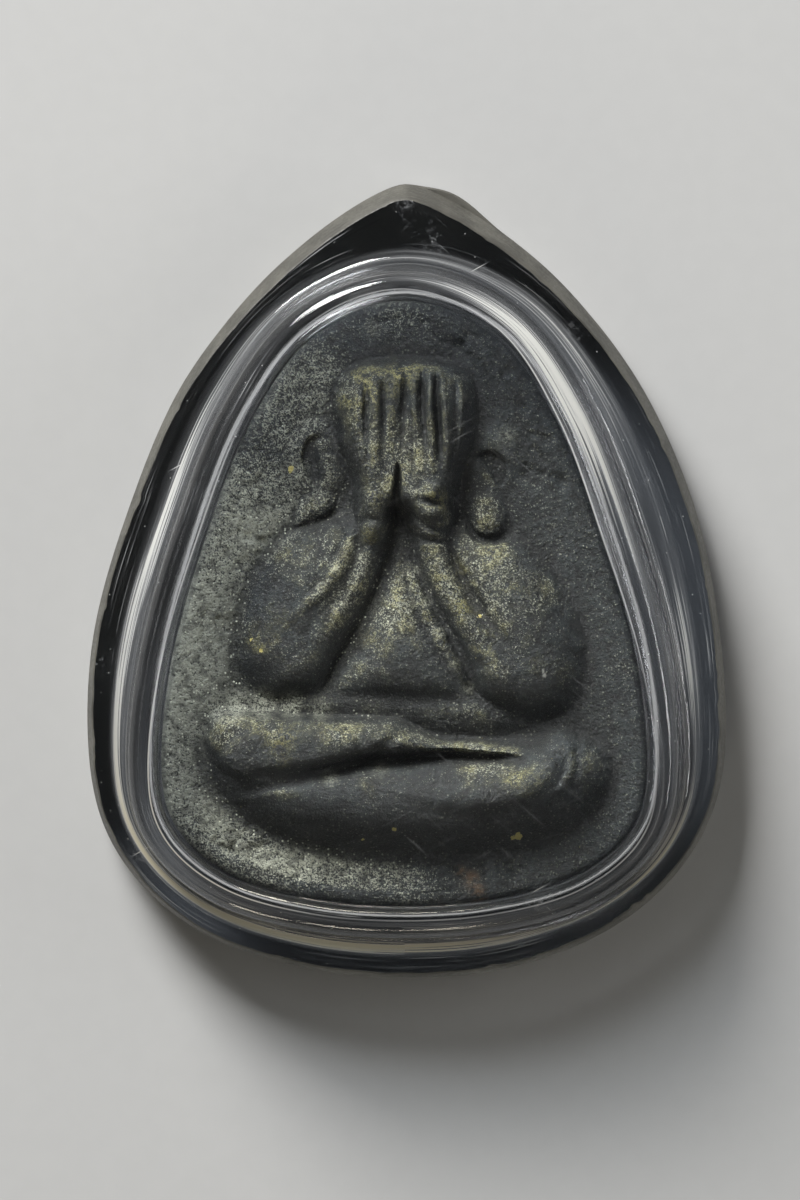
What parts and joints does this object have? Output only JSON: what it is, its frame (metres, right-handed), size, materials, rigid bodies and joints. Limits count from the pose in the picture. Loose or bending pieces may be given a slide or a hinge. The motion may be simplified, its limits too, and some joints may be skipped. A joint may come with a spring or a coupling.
{
  "type": "thai buddha amulet pendant",
  "caption": "Seated figure with its hands over its face, raised on a dark egg-shaped plaque and sealed in a clear acrylic case with a flat rim that comes to a point.",
  "frame": {"origin": "under the middle of the case's box, on the back face that the case lies on", "axes": "+Z out of the front through the window, +Y towards the tip, +X to the right seen from the front"},
  "size_m": [0.032, 0.0398, 0.009],
  "materials": {
    "cast_amulet": "dark grey pressed powder, granular, with fine bright grains and yellowish wear on the high spots",
    "clear_acrylic": "clear, polished and finely scratched, with a frosted ground edge"
  },
  "bodies": {
    "root": {"amulet": "cast_amulet", "front_shell": "clear_acrylic", "back_shell": "clear_acrylic"}
  },
  "joints": []
}
